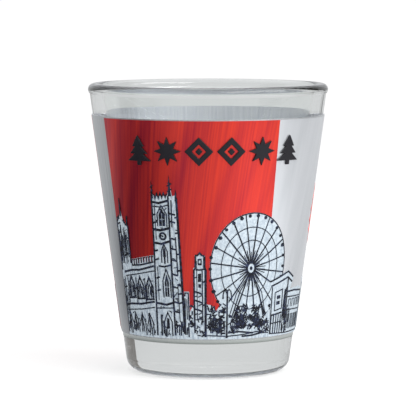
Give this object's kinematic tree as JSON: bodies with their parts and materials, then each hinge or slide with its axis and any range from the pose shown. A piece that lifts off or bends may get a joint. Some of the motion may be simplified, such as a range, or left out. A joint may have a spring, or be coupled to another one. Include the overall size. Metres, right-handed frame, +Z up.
{
  "type": "souvenir shot glass",
  "caption": "Flared pressed shot glass with a heavy clear base and a rounded rim, wrapped in a printed foil sleeve with a city line drawing and raised ornaments.",
  "frame": {"origin": "middle of the foot, on the surface that the glass stands on", "axes": "+Z up through the mouth; -Y is the front, between the church tower and the wheel of the printed view"},
  "size_m": [0.05, 0.05, 0.06],
  "materials": {
    "clear_glass": "polished",
    "clear_adhesive": "satin",
    "brushed_foil": "brushed",
    "red_lacquer": "satin",
    "pearl_white_ink": "satin",
    "leaf_ink": "satin",
    "ground_ink": "matte",
    "line_ink": "matte",
    "raised_black_ink": "satin"
  },
  "bodies": {
    "root": {"glass_body": "clear_glass", "adhesive_film": "clear_adhesive", "foil_sleeve": "brushed_foil", "red_panel_front": "red_lacquer", "white_panel": "pearl_white_ink", "red_panel_back": "red_lacquer", "leaf_print": "leaf_ink", "church_ground": "ground_ink", "side_tower_lines": "line_ink", "nave_lines": "line_ink", "church_tower_lines": "line_ink", "clock_tower_ground": "ground_ink", "clock_tower_lines": "line_ink", "wheel_ground": "ground_ink", "wheel_lines": "line_ink", "trees_ground": "ground_ink", "trees_lines": "line_ink", "street_lamp_lines": "line_ink", "hall_ground": "ground_ink", "hall_lines": "line_ink", "back_street_ground": "ground_ink", "back_street_lines": "line_ink", "raised_fir_left": "raised_black_ink", "raised_star_left": "raised_black_ink", "raised_lozenge_left": "raised_black_ink", "raised_lozenge_right": "raised_black_ink", "raised_star_right": "raised_black_ink", "raised_fir_right": "raised_black_ink"}
  },
  "joints": []
}
